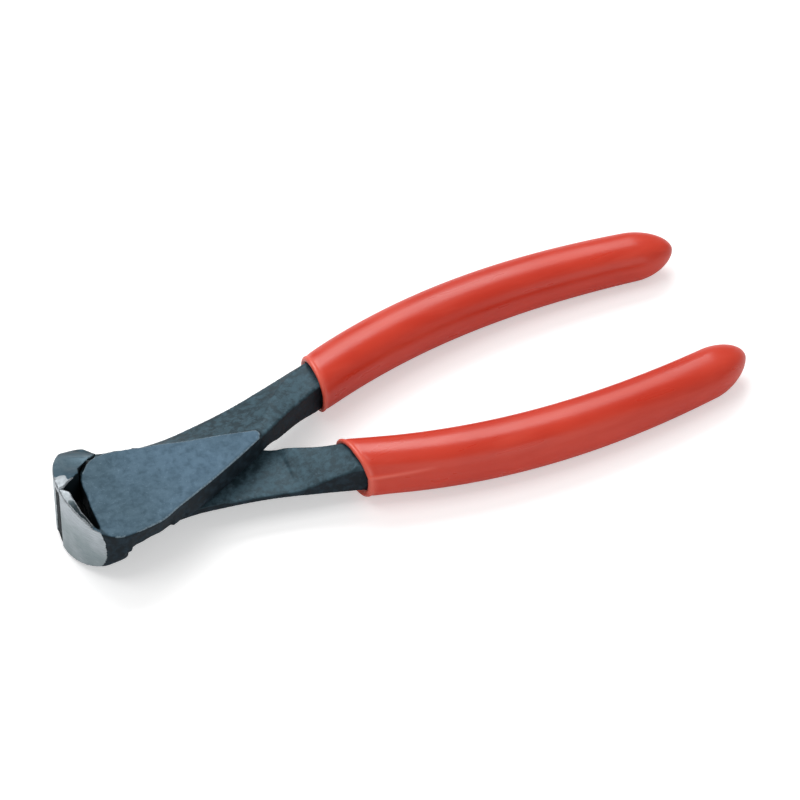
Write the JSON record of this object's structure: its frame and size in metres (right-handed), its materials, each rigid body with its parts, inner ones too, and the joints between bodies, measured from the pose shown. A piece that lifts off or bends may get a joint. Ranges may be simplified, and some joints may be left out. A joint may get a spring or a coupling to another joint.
{
  "type": "end_cutting_nippers",
  "caption": "End cutting nippers with blackened forged levers crossed in a lap joint, bright ground jaws and red dipped grips.",
  "frame": {"origin": "On the pivot axis, in the outer face of the rear plate.", "axes": "+X runs from the pivot towards the handle ends, +Z along the pivot axis from the rear plate to the front plate, and +Y towards the front lever's handle."},
  "size_m": [0.18, 0.064, 0.0219],
  "materials": {
    "forged_steel": "blackened forged steel, semi-matt, ground bright on the jaws",
    "rivet_steel": "blackened steel, ground flush",
    "dipped_plastic": "red dipped vinyl, satin gloss"
  },
  "bodies": {
    "rear": {"rear_lever": "forged_steel", "rear_grip": "dipped_plastic"},
    "front": {"front_lever": "forged_steel", "pivot_rivet": "rivet_steel", "front_grip": "dipped_plastic"}
  },
  "joints": [
    {"name": "pivot", "type": "hinge", "parent": "rear", "child": "front", "pos_m": [0, 0, 0.00725], "axis": [0, 0, 1], "range_deg": [0, 36]}
  ]
}
